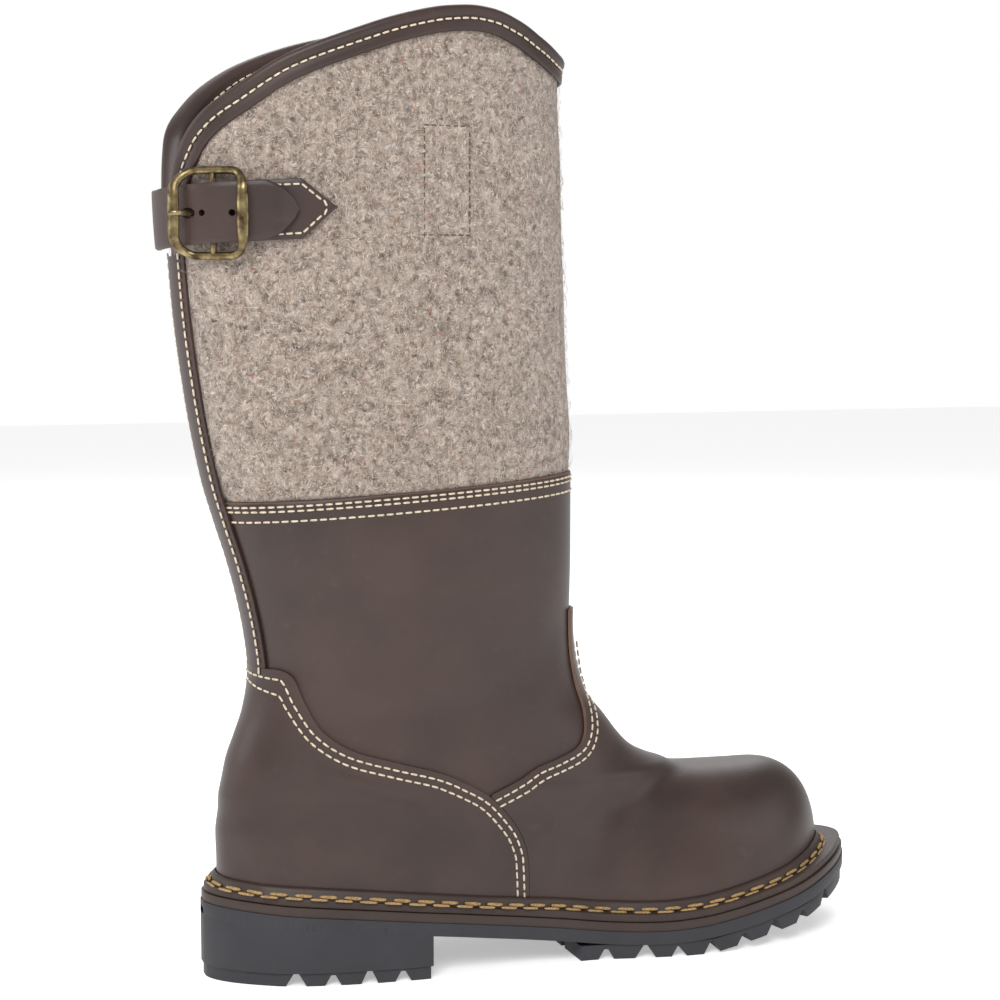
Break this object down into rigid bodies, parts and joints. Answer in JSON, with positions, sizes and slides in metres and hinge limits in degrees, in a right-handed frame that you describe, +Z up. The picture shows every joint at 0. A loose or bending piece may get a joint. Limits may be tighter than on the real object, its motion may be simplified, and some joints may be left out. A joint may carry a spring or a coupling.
{
  "type": "felt boot",
  "caption": "Tall round-toed boot with a grey felt leg, dark leather foot, bound notched collar, buckled strap at the top and a thick ribbed rubber sole.",
  "frame": {"origin": "middle of the bounding box on the floor under the sole", "axes": "+X towards the toe, +Y towards the inner side of the foot, +Z up"},
  "size_m": [0.3152, 0.1, 0.4022],
  "materials": {
    "outsole": "matt dark charcoal rubber",
    "midsole": "matt dark brown rubber board",
    "welt": "dark brown strip with two rows of tan stitches",
    "insole": "pressed felt",
    "upper": "worn dark brown leather, slight sheen",
    "vamp": "worn dark brown leather, slight sheen",
    "counter": "worn dark brown leather, slight sheen",
    "felt_shaft": "grey-beige felt with loose fibres",
    "back_strap": "dark brown leather",
    "collar_binding": "soft dark brown leather",
    "buckle_strap": "dark brown leather, raw edges lighter",
    "buckle_tab": "dark brown leather",
    "buckle_frame": "dull antique brass",
    "buckle_prong": "dull antique brass"
  },
  "bodies": {
    "root": {"outsole": "outsole", "midsole": "midsole", "welt": "welt", "insole": "insole", "upper": "upper", "vamp": "vamp", "counter": "counter", "felt_shaft": "felt_shaft", "back_strap": "back_strap", "collar_binding": "collar_binding", "buckle_strap": "buckle_strap", "buckle_tab": "buckle_tab", "buckle_frame": "buckle_frame", "buckle_prong": "buckle_prong"}
  },
  "joints": []
}
